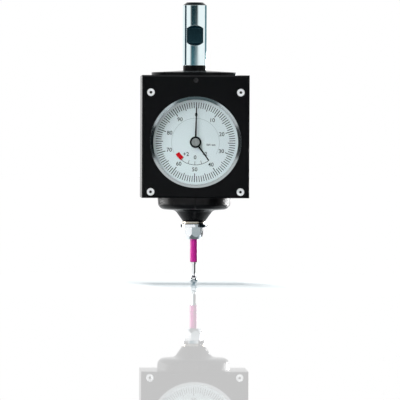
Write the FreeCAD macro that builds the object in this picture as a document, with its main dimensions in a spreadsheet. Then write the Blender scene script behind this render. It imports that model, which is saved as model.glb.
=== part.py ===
"""Three-axis edge finder: a dial box on a clamping shank, with a ball stylus below.

Millimetres. The origin is the centre of the shank's shoulder. +Z runs up the shank and the
dial faces -Y. A turned piece is drawn as pairs of radius and level and revolved.
"""
import FreeCAD, Part
import math
import os
import re

import Sketcher

Vector = FreeCAD.Vector
Rotation = FreeCAD.Rotation

# Driving dimensions. Each is a cell of the sheet, under its own name.
SIZES = {
    # shank
    "shank_diameter": 12.0,
    "shank_length": 31.0,
    "shank_chamfer_width": 1.9,
    "shank_chamfer_height": 1.5,
    "shank_spigot_diameter": 9.0,
    "flat_height": 14.65,
    "flat_length": 7.0,
    "flat_depth": 1.6,
    # top flange, its ring nut and the four run-out adjusters
    "neck_diameter": 11.4,
    "neck_length": 2.5,
    "flange_diameter": 42.4,
    "flange_cone_drop": 0.95,
    "flange_rim_height": 1.55,
    "flange_web": 2.0,
    "flange_spigot_margin": 3.0,
    "flange_spigot_length": 8.0,
    "flange_spigot_wall": 3.0,
    "flange_nut_margin": 0.75,
    "flange_play": 0.3,
    "adjuster_drop": 2.5,
    "adjuster_diameter": 2.5,
    "adjuster_inset": 0.2,
    # box
    "box_width": 52.5,
    "box_depth": 44.0,
    "box_height": 60.0,
    "box_chamfer": 0.8,
    "top_wall": 5.0,
    "bottom_wall": 4.0,
    "side_wall": 3.25,
    "back_wall": 3.0,
    "cover_thickness": 4.0,
    "boss_margin": 3.0,
    "gasket_width": 1.0,
    "gasket_thickness": 0.8,
    # cap screws that hold the cover, and those that hold the movement from the back
    "cover_screw_inset": 4.3,
    "cover_screw_drop": 8.4,
    "cover_screw_rise": 3.0,
    "screw_diameter": 2.0,
    "screw_head_diameter": 3.7,
    "screw_head_height": 1.6,
    "screw_recess": 0.4,
    "counterbore_play": 0.3,
    "cover_screw_length": 8.0,
    "post_screw_length": 8.0,
    "socket_width": 1.3,
    "socket_depth": 0.9,
    # window and dial
    "dial_offset": 2.7,
    "bevel_width": 1.5,
    "bevel_depth": 1.0,
    "lip_thickness": 0.4,
    "seal_thickness": 0.2,
    "crystal_diameter": 43.5,
    "crystal_play": 0.05,
    "crystal_ledge": 0.95,
    "crystal_thickness": 1.0,
    "dial_setback": 4.6,
    "dial_thickness": 0.6,
    "dial_play": 0.2,
    "dial_margin": 0.5,
    "dial_foot_diameter": 1.5,
    "dial_foot_spread": 34.0,
    "dial_foot_length": 2.3,
    "foot_play": 0.05,
    # movement plates, pillars and posts
    "motion_gap": 1.3,
    "plate_thickness": 1.5,
    "plate_inset": 0.8,
    "plate_foot_gap": 1.0,
    "rear_plate_gap": 1.0,
    "rear_plate_inset": 4.5,
    "rear_plate_above": 22.7,
    "rear_plate_below": 8.5,
    "pillar_inset": 7.3,
    "pillar_above": 12.7,
    "pillar_below": 6.3,
    "pillar_diameter": 3.0,
    "stud_diameter": 1.8,
    "stud_length": 4.5,
    "post_diameter": 5.0,
    "small_screw_diameter": 1.2,
    "small_head_diameter": 2.4,
    "small_head_height": 0.8,
    "small_screw_length": 5.0,
    "small_socket_width": 0.9,
    "small_socket_depth": 0.4,
    # plunger and its guides
    "guide_width": 13.0,
    "guide_depth": 10.5,
    "guide_height": 4.0,
    "upper_guide_rise": 21.7,
    "lower_guide_drop": 0.3,
    "guide_screw_spread": 9.2,
    "guide_play": 0.03,
    "plunger_diameter": 5.0,
    "plunger_head": 0.5,
    "plunger_tail": 3.0,
    "plunger_stem_diameter": 2.0,
    "tip_diameter": 3.0,
    "tip_gap": 0.4,
    "tip_socket_depth": 0.6,
    # wheel train
    "rack_line": 2.0,
    "rack_pitch": 0.8,
    "rack_gaps": 11,
    "rack_lead_gaps": 2,
    "rack_pinion_teeth": 10,
    "rack_pinion_width": 2.4,
    "wheel_module": 0.2,
    "large_wheel_teeth": 96,
    "centre_pinion_teeth": 12,
    "take_up_teeth": 60,
    "motion_pinion_teeth": 20,
    "hour_wheel_teeth": 50,
    "pressure_angle": 20.0,
    "tooth_addendum": 0.7,
    "tooth_dedendum": 1.0,
    "tooth_play": 0.2,
    "arbor_diameter": 1.2,
    "take_up_arbor_diameter": 1.0,
    "bearing_play": 0.04,
    "arbor_end_play": 0.15,
    "wheel_thickness": 0.8,
    "motion_thickness": 0.7,
    "motion_play": 0.3,
    "pinion_margin": 0.4,
    "hairspring_gap": 0.4,
    "hairspring_width": 0.4,
    "hairspring_thickness": 0.15,
    "hairspring_inner": 2.0,
    "hairspring_outer": 9.0,
    "hairspring_turns": 4,
    "hairspring_post_diameter": 1.0,
    # hands
    "hand_thickness": 0.25,
    "small_hand_gap": 0.7,
    "hand_gap": 0.35,
    "main_hand_length": 17.2,
    "main_hand_root": 0.9,
    "main_hand_tip": 0.5,
    "main_hand_angle": 1.4,
    "small_hand_length": 11.1,
    "small_hand_root": 1.0,
    "small_hand_tip": 0.5,
    "small_hand_angle": 36.4,
    "small_hand_hub": 3.6,
    "hub_diameter": 5.7,
    "hub_cap_diameter": 3.9,
    "hub_cap_height": 0.25,
    "tube_diameter": 2.2,
    "tube_play": 0.05,
    "dial_hole_play": 0.2,
    # lower flange, bush, carrier and main spring
    "lower_flange_diameter": 31.4,
    "lower_flange_thickness": 4.8,
    "lower_spigot_diameter": 24.0,
    "lower_spigot_length": 11.0,
    "lower_screw_circle": 27.6,
    "lower_screw_diameter": 2.0,
    "lower_screw_head": 3.4,
    "lower_screw_head_height": 2.0,
    "lower_screw_length": 6.5,
    "spigot_play": 0.05,
    "bush_diameter": 20.0,
    "bush_bore": 16.0,
    "bush_recess": 1.0,
    "carrier_play": 0.04,
    "carrier_bore": 12.6,
    "carrier_length": 15.5,
    "carrier_flange_diameter": 22.0,
    "carrier_flange_thickness": 2.0,
    "spring_seat_bore": 4.0,
    "spring_diameter": 9.0,
    "wire_diameter": 0.8,
    "spring_turns": 5,
    "spring_end_play": 0.05,
    # gimbal and stylus holder
    "pivot_rise": 3.0,
    "ring_diameter": 12.0,
    "ring_bore": 9.4,
    "ring_height": 3.0,
    "pin_diameter": 1.2,
    "pin_play": 0.05,
    "pin_inset": 0.15,
    "head_diameter": 8.4,
    "head_above": 2.5,
    "head_below": 2.0,
    "seat_mouth": 4.4,
    "seat_depth": 1.27,
    "head_pin_depth": 1.3,
    "holder_stem_diameter": 6.0,
    # boot
    "boot_diameter": 36.0,
    "boot_skirt": 3.6,
    "boot_draft": 0.3,
    "boot_corner_width": 1.3,
    "boot_corner_height": 1.1,
    "boot_shoulder_width": 2.7,
    "boot_shoulder_height": 0.4,
    "boot_depth": 6.2,
    "boot_neck_diameter": 20.4,
    "boot_throat_diameter": 17.8,
    "boot_throat_drop": 0.7,
    "boot_waist_diameter": 15.4,
    "boot_waist_drop": 2.4,
    "boot_end_diameter": 10.8,
    "boot_end_drop": 5.65,
    "boot_wall": 1.2,
    "boot_lip": 1.0,
    "boot_play": 0.1,
    # clamp ring, collar and stylus
    "clamp_ring_diameter": 11.8,
    "clamp_ring_height": 0.85,
    "clamp_seal_diameter": 11.0,
    "clamp_seal_height": 0.4,
    "collar_flange_diameter": 13.4,
    "collar_flange_height": 1.5,
    "hex_width": 8.0,
    "hex_height": 5.8,
    "hex_angle": 14.0,
    "hex_nose_diameter": 7.1,
    "hex_nose_height": 2.4,
    "holder_thread_length": 3.0,
    "stud_thread_diameter": 2.5,
    "stud_reach": 4.0,
    "sleeve_diameter": 3.9,
    "sleeve_length": 11.4,
    "sleeve_bevel": 0.3,
    "stylus_diameter": 2.0,
    "stylus_reach": 4.5,
    "stylus_collar_diameter": 2.4,
    "stylus_collar_length": 1.0,
    "stylus_neck_diameter": 2.3,
    "stylus_neck_length": 1.0,
    "stylus_length": 8.6,
    "ball_diameter": 4.0,
    "ball_socket_depth": 1.0,
}

# Places worked out from the sizes: levels along Z, faces along Y and radii.
PLACES = {
    "box_top": "=-(neck_length + flange_cone_drop + flange_rim_height)",
    "box_bottom": "=box_top - box_height",
    "front_face": "=-box_depth / 2",
    "back_face": "=box_depth / 2",
    "cover_back": "=front_face + cover_thickness",
    "cavity_back": "=back_face - back_wall",
    "cavity_top": "=box_top - top_wall",
    "cavity_bottom": "=box_bottom + bottom_wall",
    "cavity_side": "=box_width / 2 - side_wall",
    "flange_rim_top": "=box_top + flange_rim_height",
    "flange_web_bottom": "=box_top - flange_web",
    "flange_spigot_bottom": "=box_top - flange_spigot_length",
    "adjuster_level": "=box_top - adjuster_drop",
    "adjuster_outer": "=flange_diameter / 2 - adjuster_inset",
    "dial_level": "=(box_top + box_bottom) / 2 - dial_offset",
    "dial_radius": "=min(cavity_side - dial_play; dial_level - cavity_bottom - dial_margin)",
    "screw_side": "=box_width / 2 - cover_screw_inset",
    "screw_top": "=box_top - cover_screw_drop",
    "screw_bottom": "=box_bottom + cover_screw_rise",
    "screw_seat": "=front_face + screw_recess + screw_head_height",
    "flange_nut_room": "=min(-cover_back; screw_side - boss_margin)",
    "flange_nut_diameter": "=2 * (flange_nut_room - flange_nut_margin)",
    "flange_spigot_diameter": "=2 * (flange_nut_room - flange_spigot_margin)",
    "flange_bore_diameter": "=flange_spigot_diameter - 2 * flange_spigot_wall",
    "counterbore_diameter": "=screw_head_diameter + 2 * counterbore_play",
    "bevel_back": "=front_face + bevel_depth",
    "lip_back": "=bevel_back + lip_thickness",
    "crystal_front": "=lip_back + seal_thickness",
    "crystal_back": "=crystal_front + crystal_thickness",
    "crystal_bore": "=crystal_diameter + 2 * crystal_play",
    "window_throat": "=crystal_diameter - 2 * crystal_ledge",
    "window_diameter": "=window_throat + 2 * bevel_width",
    "dial_front": "=front_face + dial_setback",
    "dial_back": "=dial_front + dial_thickness",
    "front_plate_front": "=dial_back + motion_gap",
    "front_plate_back": "=front_plate_front + plate_thickness",
    "plate_radius": "=dial_radius - plate_inset",
    "rear_plate_back": "=-(spring_diameter / 2 + rear_plate_gap)",
    "rear_plate_front": "=rear_plate_back - plate_thickness",
    "hairspring_back": "=rear_plate_front - small_head_height - hairspring_gap",
    "hairspring_front": "=hairspring_back - hairspring_width",
    "wheel_layer": "=(hairspring_front - front_plate_back) / 5.4",
    "pillar_side": "=dial_radius - pillar_inset",
    "pillar_top": "=dial_level + pillar_above",
    "pillar_bottom": "=dial_level - pillar_below",
    "stud_end": "=rear_plate_back + stud_length",
    "post_screw_seat": "=back_face - screw_recess - screw_head_height",
    "upper_guide_top": "=dial_level + upper_guide_rise",
    "upper_guide_bottom": "=upper_guide_top - guide_height",
    "lower_guide_top": "=dial_level - lower_guide_drop",
    "lower_guide_bottom": "=lower_guide_top - guide_height",
    "guide_back": "=rear_plate_back + guide_depth",
    "plunger_top": "=upper_guide_top + plunger_head",
    "plunger_step": "=lower_guide_bottom - plunger_tail",
    "rack_pinion_radius": "=rack_pinion_teeth * rack_pitch / (2 * pi)",
    "rack_module": "=rack_pitch / pi",
    "rack_pinion_front": "=-rack_pinion_width / 2",
    "rack_pinion_back": "=rack_pinion_width / 2",
    "gear_distance": "=(large_wheel_teeth + centre_pinion_teeth) / 2 * wheel_module",
    "take_up_distance": "=(take_up_teeth + centre_pinion_teeth) / 2 * wheel_module",
    "motion_module": "=2 * gear_distance / (motion_pinion_teeth + hour_wheel_teeth)",
    "rack_arbor_x": "=-(rack_line + rack_pinion_radius)",
    "rack_arbor_rise": "=sqrt(gear_distance ^ 2 - rack_arbor_x ^ 2)",
    "rack_arbor_level": "=dial_level + rack_arbor_rise",
    "large_wheel_front": "=front_plate_back + 2 * wheel_layer",
    "large_wheel_back": "=large_wheel_front + wheel_thickness",
    "take_up_front": "=front_plate_back + 4 * wheel_layer",
    "take_up_back": "=take_up_front + wheel_thickness",
    "centre_pinion_front": "=large_wheel_front - pinion_margin",
    "centre_pinion_back": "=take_up_back + pinion_margin",
    "motion_front": "=dial_back + motion_play",
    "motion_back": "=motion_front + motion_thickness",
    "small_hand_back": "=dial_front - small_hand_gap",
    "small_hand_front": "=small_hand_back - hand_thickness",
    "main_hand_back": "=small_hand_front - hand_gap",
    "main_hand_front": "=main_hand_back - hand_thickness",
    "lower_flange_bottom": "=box_bottom - lower_flange_thickness",
    "lower_spigot_top": "=box_bottom + lower_spigot_length",
    "lower_screw_seat": "=lower_flange_bottom + lower_screw_head_height",
    "lower_screw_end": "=lower_screw_seat + lower_screw_length",
    "lower_screw_offset": "=lower_screw_circle / 2 / sqrt(2)",
    "bush_bottom": "=lower_flange_bottom + bush_recess",
    "carrier_top": "=lower_spigot_top + carrier_flange_thickness",
    "carrier_bottom": "=lower_spigot_top - carrier_length",
    "pivot_level": "=box_bottom + pivot_rise",
    "head_top": "=pivot_level + head_above",
    "head_bottom": "=pivot_level - head_below",
    "seat_apex": "=head_top - seat_depth",
    "seat_slope": "=atan(seat_mouth / 2 / seat_depth)",
    "tip_centre": "=seat_apex + (tip_diameter / 2 + tip_gap) / sin(seat_slope)",
    "stem_end": "=tip_centre + tip_diameter / 2 - tip_socket_depth",
    "boot_floor": "=box_bottom - boot_depth",
    "boot_end": "=boot_floor - boot_end_drop",
    "ring_bottom": "=boot_end - clamp_ring_height",
    "collar_top": "=ring_bottom - clamp_seal_height",
    "hex_top": "=collar_top - collar_flange_height",
    "hex_bottom": "=hex_top - hex_height",
    "holder_end": "=collar_top - holder_thread_length",
    "sleeve_bottom": "=hex_bottom - sleeve_length",
    "ball_centre": "=sleeve_bottom - stylus_length",
    "ball_socket_end": "=ball_centre + ball_diameter / 2 - ball_socket_depth",
}

# How a bar that is built along Z is turned to lie along each axis, and the two coordinates left.
TURNS = {
    "X": Rotation(Vector(0, 1, 0), 90),
    "Y": Rotation(Vector(1, 0, 0), -90),
    "Z": Rotation(),
}
ACROSS = {"X": "yz", "Y": "xz", "Z": "xy"}

# Sketch planes, the sign that turns a coordinate into their offset, and which way a pad runs.
PLANES = {
    "X": ("YZ_Plane", 1),
    "Y": ("XZ_Plane", -1),
    "Z": ("XY_Plane", 1),
}

LEFT_AND_RIGHT = ("-", "")

doc = FreeCAD.newDocument("edge_finder")
sheet = doc.addObject("Spreadsheet::Sheet", "Sizes")
nodes = []


# The sheet and the links to it

def fill_sheet():
    """Write every size and place into the sheet, one named cell each."""
    rows = {**SIZES, **PLACES}
    for row, (name, content) in enumerate(rows.items(), start=1):
        sheet.set(f"A{row}", name)
        sheet.set(f"B{row}", str(content))
        sheet.setAlias(f"B{row}", name)
    doc.recompute()


def cells(formula):
    """Point each size that a formula names at its cell."""
    def cell(word):
        name = word.group(0)
        return f"Sizes.{name}" if name in SIZES or name in PLACES else name
    return re.sub(r"[a-z]\w*", cell, str(formula))


def bind(thing, prop, formula):
    """Tie a property to a formula of cells."""
    thing.setExpression(prop, cells(formula))


def size(name):
    """The number that a cell holds now."""
    return float(getattr(sheet, name))


def keep(thing, label):
    """Name a finished sub-part and list it for export."""
    thing.Label = label
    nodes.append(thing)
    return thing


def place(thing, x="0", y="0", z="0"):
    """Tie a piece's position to three formulas."""
    bind(thing, "Placement.Base.x", x)
    bind(thing, "Placement.Base.y", y)
    bind(thing, "Placement.Base.z", z)
    return thing


# Sketches and the features made from them

def new_body(label):
    body = doc.addObject("PartDesign::Body", "body")
    body.Label = label + "_blank"
    return body


def outline_sketch(body, role, outline, offset="0"):
    """A closed outline of straight sides, every corner tied to the sheet."""
    sketch = body.newObject("Sketcher::SketchObject", "outline")
    plane = next(feature for feature in body.Origin.OriginFeatures if feature.Role == role)
    sketch.AttachmentSupport = [(plane, "")]
    sketch.MapMode = "FlatFace"
    bind(sketch, "AttachmentOffset.Base.z", offset)
    count = len(outline)
    turn = 2 * math.pi / count
    spots = [Vector(math.cos(i * turn), math.sin(i * turn), 0) for i in range(count)]
    for i in range(count):
        sketch.addGeometry(Part.LineSegment(spots[i], spots[(i + 1) % count]), False)
    for i in range(count):
        sketch.addConstraint(Sketcher.Constraint("Coincident", i, 2, (i + 1) % count, 1))
    for i, corner in enumerate(outline):
        for kind, formula in zip(("DistanceX", "DistanceY"), corner):
            number = sketch.addConstraint(Sketcher.Constraint(kind, -1, 1, i, 1, 0.0))
            bind(sketch, f"Constraints[{number}]", formula)
    return sketch


def turned(label, axis, outline, x="0", y="0", z="0"):
    """A body of revolution about Z or Y, from an outline of radius and level."""
    body = new_body(label)
    role = "XZ_Plane" if axis == "Z" else "XY_Plane"
    sketch = outline_sketch(body, role, outline)
    turn = body.newObject("PartDesign::Revolution", "turn")
    turn.Profile = sketch
    turn.ReferenceAxis = (sketch, ["V_Axis"])
    turn.Angle = 360
    return place(body, x, y, z)


def pad(body, axis, start, end, outline):
    """Add an outline's prism from start to end along an axis."""
    role, sign = PLANES[axis]
    sketch = outline_sketch(body, role, outline, f"{sign} * ({start})")
    prism = body.newObject("PartDesign::Pad", "pad")
    prism.Profile = sketch
    prism.Reversed = sign < 0
    bind(prism, "Length", f"({end}) - ({start})")
    return prism


def pocket(body, axis, start, end, outline):
    """Cut an outline's prism from start to end along an axis, and see that it cuts."""
    doc.recompute()
    before = body.Shape.Volume
    role, sign = PLANES[axis]
    sketch = outline_sketch(body, role, outline, f"{sign} * ({start})")
    prism = body.newObject("PartDesign::Pocket", "pocket")
    prism.Profile = sketch
    prism.Reversed = sign > 0
    bind(prism, "Length", f"({end}) - ({start})")
    doc.recompute()
    if body.Shape.Volume >= before:
        raise RuntimeError(f"{body.Label}: a pocket cuts nothing")
    return prism


def rectangle(side, low, high):
    """Corners of a rectangle that is centred left to right."""
    return [(f"-({side})", low), (side, low), (side, high), (f"-({side})", high)]


# Primitives and booleans

def rod(axis, diameter, start, end, a="0", b="0"):
    """A round bar from start to end along an axis; a and b are its other two coordinates."""
    bar = doc.addObject("Part::Cylinder", "rod")
    bar.Placement = FreeCAD.Placement(Vector(), TURNS[axis])
    bind(bar, "Radius", f"({diameter}) / 2")
    bind(bar, "Height", f"({end}) - ({start})")
    bind(bar, f"Placement.Base.{axis.lower()}", start)
    for letter, formula in zip(ACROSS[axis], (a, b)):
        bind(bar, f"Placement.Base.{letter}", formula)
    return bar


def block(side, front, back, low, high):
    """A rectangular block that is centred left to right."""
    box = doc.addObject("Part::Box", "block")
    bind(box, "Length", f"2 * ({side})")
    bind(box, "Width", f"({back}) - ({front})")
    bind(box, "Height", f"({high}) - ({low})")
    return place(box, f"-({side})", front, low)


def hexagon(width, start, end, turn=0.0, z_axis=True, x="0", z="0"):
    """A hexagonal prism, by its width across flats, along Z or Y."""
    prism = doc.addObject("Part::Prism", "hexagon")
    prism.Polygon = 6
    bind(prism, "Circumradius", f"({width}) / sqrt(3)")
    bind(prism, "Height", f"({end}) - ({start})")
    along = Rotation() if z_axis else TURNS["Y"]
    prism.Placement = FreeCAD.Placement(Vector(), along.multiply(Rotation(Vector(0, 0, 1), turn)))
    return place(prism, x, "0", start) if z_axis else place(prism, x, start, z)


def joined(label, pieces):
    fuse = doc.addObject("Part::MultiFuse", "joined")
    fuse.Shapes = pieces
    fuse.Label = label + "_joined"
    return fuse


def cut(label, base, tools):
    """A base with every tool's shape taken out of it."""
    result = doc.addObject("Part::Cut", "cut")
    result.Base = base
    result.Tool = tools[0] if len(tools) == 1 else joined(label + "_tools", tools)
    result.Label = label + "_cut"
    return result


def group(label, blank, places):
    """Copies of one blank, each a solid of its own, at the places given as x, y, z and a turn about Z."""
    copies = []
    for x, y, z, turn in places:
        copy = doc.addObject("App::Link", "copy")
        copy.LinkedObject = blank
        copy.LinkTransform = True
        copy.Placement = FreeCAD.Placement(Vector(), Rotation(Vector(0, 0, 1), turn))
        copies.append(place(copy, x, y, z))
    compound = doc.addObject("Part::Compound", "group")
    compound.Links = copies
    return keep(compound, label)


def cap_screw(label, head, head_height, diameter, length, socket="socket_width", depth="socket_depth"):
    """A socket cap screw along Y: its head's seat is at 0 and its thread runs towards +Y."""
    blank = turned(label, "Y", [
        ("0", f"-{head_height}"),
        (f"{head} / 2", f"-{head_height}"),
        (f"{head} / 2", "0"),
        (f"{diameter} / 2", "0"),
        (f"{diameter} / 2", length),
        ("0", length),
    ])
    recess = hexagon(socket, f"-{head_height}", f"{depth} - {head_height}", z_axis=False)
    return cut(label, blank, [recess])


# Corner places that several pieces share

def lower_screw_places():
    offset = "lower_screw_offset"
    return [(f"{side}{offset}", f"{end}{offset}") for side in LEFT_AND_RIGHT for end in LEFT_AND_RIGHT]


def screw_corners():
    levels = ("screw_top", "screw_bottom")
    return [(f"{side}screw_side", level) for side in LEFT_AND_RIGHT for level in levels]


def pillar_corners():
    levels = ("pillar_top", "pillar_bottom")
    return [(f"{side}pillar_side", level) for side in LEFT_AND_RIGHT for level in levels]


def cavity_outline(margin):
    """The box's inner outline with a boss left in each corner, grown outwards by a margin."""
    side = f"(cavity_side + {margin})"
    step = f"(screw_side - boss_margin + {margin})"
    top = f"(cavity_top + {margin})"
    upper = f"(screw_top - boss_margin + {margin})"
    bottom = f"(cavity_bottom - {margin})"
    lower = f"(screw_bottom + boss_margin - {margin})"
    right = [(step, bottom), (step, lower), (side, lower), (side, upper), (step, upper), (step, top)]
    left = [(f"-{x}", z) for x, z in reversed(right)]
    return right + left


# Shank and top flange

def make_shank():
    body = turned("shank", "Z", [
        ("0", "flange_web_bottom"),
        ("shank_spigot_diameter / 2", "flange_web_bottom"),
        ("shank_spigot_diameter / 2", "0"),
        ("shank_diameter / 2", "0"),
        ("shank_diameter / 2", "shank_length - shank_chamfer_height"),
        ("shank_diameter / 2 - shank_chamfer_width", "shank_length"),
        ("0", "shank_length"),
    ])
    floor = "-(shank_diameter / 2 - flat_depth)"
    mouth = "-(shank_diameter / 2 + flat_depth)"
    half = "flat_length / 2"
    flare = "(flat_length / 2 + 2 * flat_depth)"
    pocket(body, "X", "-shank_diameter / 2", "shank_diameter / 2", [
        (floor, f"flat_height - {half}"),
        (floor, f"flat_height + {half}"),
        (mouth, f"flat_height + {flare}"),
        (mouth, f"flat_height - {flare}"),
    ])
    keep(body, "shank")


def make_top_flange():
    body = turned("top_flange", "Z", [
        ("shank_spigot_diameter / 2", "0"),
        ("neck_diameter / 2", "0"),
        ("neck_diameter / 2", "-neck_length"),
        ("flange_diameter / 2", "flange_rim_top"),
        ("flange_diameter / 2", "box_top"),
        ("flange_spigot_diameter / 2", "box_top"),
        ("flange_spigot_diameter / 2", "flange_spigot_bottom"),
        ("flange_bore_diameter / 2", "flange_spigot_bottom"),
        ("flange_bore_diameter / 2", "flange_web_bottom"),
        ("shank_spigot_diameter / 2", "flange_web_bottom"),
    ])
    keep(body, "top_flange")


def make_flange_nut():
    keep(turned("flange_nut", "Z", [
        ("flange_spigot_diameter / 2", "flange_spigot_bottom"),
        ("flange_nut_diameter / 2", "flange_spigot_bottom"),
        ("flange_nut_diameter / 2", "cavity_top"),
        ("flange_spigot_diameter / 2", "cavity_top"),
    ]), "flange_nut")


def make_adjusters():
    screw = rod("Y", "adjuster_diameter", "-adjuster_outer", "-flange_spigot_diameter / 2")
    socket = hexagon("socket_width", "-adjuster_outer", "-adjuster_outer + socket_depth", z_axis=False)
    blank = cut("run_out_adjuster", screw, [socket])
    group("run_out_adjusters", blank, [("0", "0", "adjuster_level", turn) for turn in (0, 90, 180, 270)])


def adjuster_holes():
    """Two tapped holes right across the top wall, one each way."""
    return [
        rod("Y", "adjuster_diameter", "front_face", "back_face", "0", "adjuster_level"),
        rod("X", "adjuster_diameter", "-box_width / 2", "box_width / 2", "0", "adjuster_level"),
    ]


# Box

def chamfer_face(body, prism, level):
    """Chamfer the edges of a prism's end face at a level along Y."""
    doc.recompute()
    faces = prism.Shape.Faces
    number = min(range(len(faces)), key=lambda i: abs(faces[i].CenterOfMass.y - level))
    chamfer = body.newObject("PartDesign::Chamfer", "chamfer")
    chamfer.Base = (prism, [f"Face{number + 1}"])
    bind(chamfer, "Size", "box_chamfer")


def make_housing():
    body = new_body("housing")
    prism = pad(body, "Y", "cover_back", "back_face", rectangle("box_width / 2", "box_bottom", "box_top"))
    chamfer_face(body, prism, size("back_face"))
    pocket(body, "Y", "cover_back", "cover_back + gasket_thickness", cavity_outline("gasket_width"))
    pocket(body, "Y", "cover_back", "cavity_back", cavity_outline("0"))
    tools = [
        rod("Z", "flange_spigot_diameter + 2 * flange_play", "cavity_top", "box_top"),
        rod("Z", "lower_spigot_diameter + 2 * spigot_play", "box_bottom", "cavity_bottom"),
        *adjuster_holes(),
    ]
    for x, z in screw_corners():
        tools.append(rod("Y", "screw_diameter", "cover_back", "screw_seat + cover_screw_length", x, z))
    for x, z in pillar_corners():
        tools.append(rod("Y", "screw_diameter", "cavity_back", "back_face", x, z))
        tools.append(rod("Y", "counterbore_diameter", "post_screw_seat", "back_face", x, z))
    for x, y in lower_screw_places():
        tools.append(rod("Z", "lower_screw_diameter", "box_bottom", "lower_screw_end", x, y))
    keep(cut("housing", body, tools), "housing")


def make_front_cover():
    body = new_body("front_cover")
    prism = pad(body, "Y", "front_face", "cover_back", rectangle("box_width / 2", "box_bottom", "box_top"))
    chamfer_face(body, prism, size("front_face"))
    window = turned("window", "Y", [
        ("0", "front_face"),
        ("window_diameter / 2", "front_face"),
        ("window_throat / 2", "bevel_back"),
        ("window_throat / 2", "lip_back"),
        ("crystal_bore / 2", "lip_back"),
        ("crystal_bore / 2", "cover_back"),
        ("0", "cover_back"),
    ], z="dial_level")
    tools = [window, rod("Y", "adjuster_diameter", "front_face", "cover_back", "0", "adjuster_level")]
    for x, z in screw_corners():
        tools.append(rod("Y", "screw_diameter", "front_face", "cover_back", x, z))
        tools.append(rod("Y", "counterbore_diameter", "front_face", "screw_seat", x, z))
    keep(cut("front_cover", body, tools), "front_cover")


def make_cover_gasket():
    body = new_body("cover_gasket")
    pad(body, "Y", "cover_back", "cover_back + gasket_thickness", cavity_outline("gasket_width"))
    pocket(body, "Y", "cover_back", "cover_back + gasket_thickness", cavity_outline("0"))
    keep(body, "cover_gasket")


def make_cover_screws():
    blank = cap_screw("cover_screw", "screw_head_diameter", "screw_head_height", "screw_diameter",
                      "cover_screw_length")
    group("cover_screws", blank, [(x, "screw_seat", z, 0) for x, z in screw_corners()])


# Window and dial

def ring(label, outer, inner, front, back):
    """A flat ring about the dial's axis, by its two diameters."""
    keep(turned(label, "Y", [
        (f"({inner}) / 2", front),
        (f"({outer}) / 2", front),
        (f"({outer}) / 2", back),
        (f"({inner}) / 2", back),
    ], z="dial_level"), label)


def make_window():
    ring("crystal_seal", "crystal_diameter", "window_throat", "lip_back", "crystal_front")
    keep(rod("Y", "crystal_diameter", "crystal_front", "crystal_back", "0", "dial_level"), "crystal")
    ring("crystal_retainer", "crystal_diameter", "window_throat", "crystal_back", "cover_back")


def make_dial():
    foot_end = "dial_back + dial_foot_length"
    feet = [
        rod("Y", "dial_foot_diameter", "dial_back", foot_end, f"{side}dial_foot_spread / 2", "dial_level")
        for side in LEFT_AND_RIGHT
    ]
    disc = rod("Y", "2 * dial_radius", "dial_front", "dial_back", "0", "dial_level")
    hole = rod("Y", "tube_diameter + 2 * dial_hole_play", "dial_front", "dial_back", "0", "dial_level")
    keep(cut("dial_plate", joined("dial_plate", [disc, *feet]), [hole]), "dial_plate")


# Movement frame

def arbor_hole(diameter, front, back, x, z):
    return rod("Y", f"{diameter} + 2 * bearing_play", front, back, x, z)


def bearings(front, back):
    """Bearing holes for the three arbors through one plate."""
    return [
        arbor_hole("arbor_diameter", front, back, "0", "dial_level"),
        arbor_hole("arbor_diameter", front, back, "rack_arbor_x", "rack_arbor_level"),
        arbor_hole("take_up_arbor_diameter", front, back, "take_up_distance", "dial_level"),
    ]


def make_front_plate():
    front = "front_plate_front"
    back = "front_plate_back"
    disc = rod("Y", "2 * plate_radius", front, back, "0", "dial_level")
    rim_bottom = "dial_level - plate_radius"
    foot = block("plate_radius", front, back, rim_bottom, "lower_spigot_top + plate_foot_gap")
    tools = [foot, *bearings(front, back)]
    for x, z in pillar_corners():
        tools.append(rod("Y", "small_screw_diameter", front, back, x, z))
    foot_hole = "dial_foot_diameter + 2 * foot_play"
    for side in LEFT_AND_RIGHT:
        tools.append(rod("Y", foot_hole, front, back, f"{side}dial_foot_spread / 2", "dial_level"))
    keep(cut("movement_front_plate", disc, tools), "movement_front_plate")


def guide_screw_places():
    levels = ("(upper_guide_top + upper_guide_bottom) / 2", "(lower_guide_top + lower_guide_bottom) / 2")
    return [(f"{side}guide_screw_spread / 2", level) for side in LEFT_AND_RIGHT for level in levels]


def make_rear_plate():
    front = "rear_plate_front"
    back = "rear_plate_back"
    plate = block("cavity_side - rear_plate_inset", front, back, "dial_level - rear_plate_below",
                  "dial_level + rear_plate_above")
    tools = bearings(front, back)
    for x, z in pillar_corners():
        tools.append(rod("Y", "stud_diameter", front, back, x, z))
    for x, z in guide_screw_places():
        tools.append(rod("Y", "small_screw_diameter", front, back, x, z))
    keep(cut("movement_rear_plate", plate, tools), "movement_rear_plate")


def make_pillars():
    blank = turned("pillar", "Y", [
        ("small_screw_diameter / 2", "front_plate_back"),
        ("pillar_diameter / 2", "front_plate_back"),
        ("pillar_diameter / 2", "rear_plate_front"),
        ("stud_diameter / 2", "rear_plate_front"),
        ("stud_diameter / 2", "stud_end"),
        ("0", "stud_end"),
        ("0", "front_plate_front + small_screw_length"),
        ("small_screw_diameter / 2", "front_plate_front + small_screw_length"),
    ])
    group("plate_pillars", blank, [(x, "0", z, 0) for x, z in pillar_corners()])


def make_posts():
    screw_end = "post_screw_seat - post_screw_length"
    blank = turned("post", "Y", [
        ("stud_diameter / 2", "rear_plate_back"),
        ("post_diameter / 2", "rear_plate_back"),
        ("post_diameter / 2", "cavity_back"),
        ("screw_diameter / 2", "cavity_back"),
        ("screw_diameter / 2", screw_end),
        ("0", screw_end),
        ("0", "stud_end"),
        ("stud_diameter / 2", "stud_end"),
    ])
    group("movement_posts", blank, [(x, "0", z, 0) for x, z in pillar_corners()])


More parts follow.
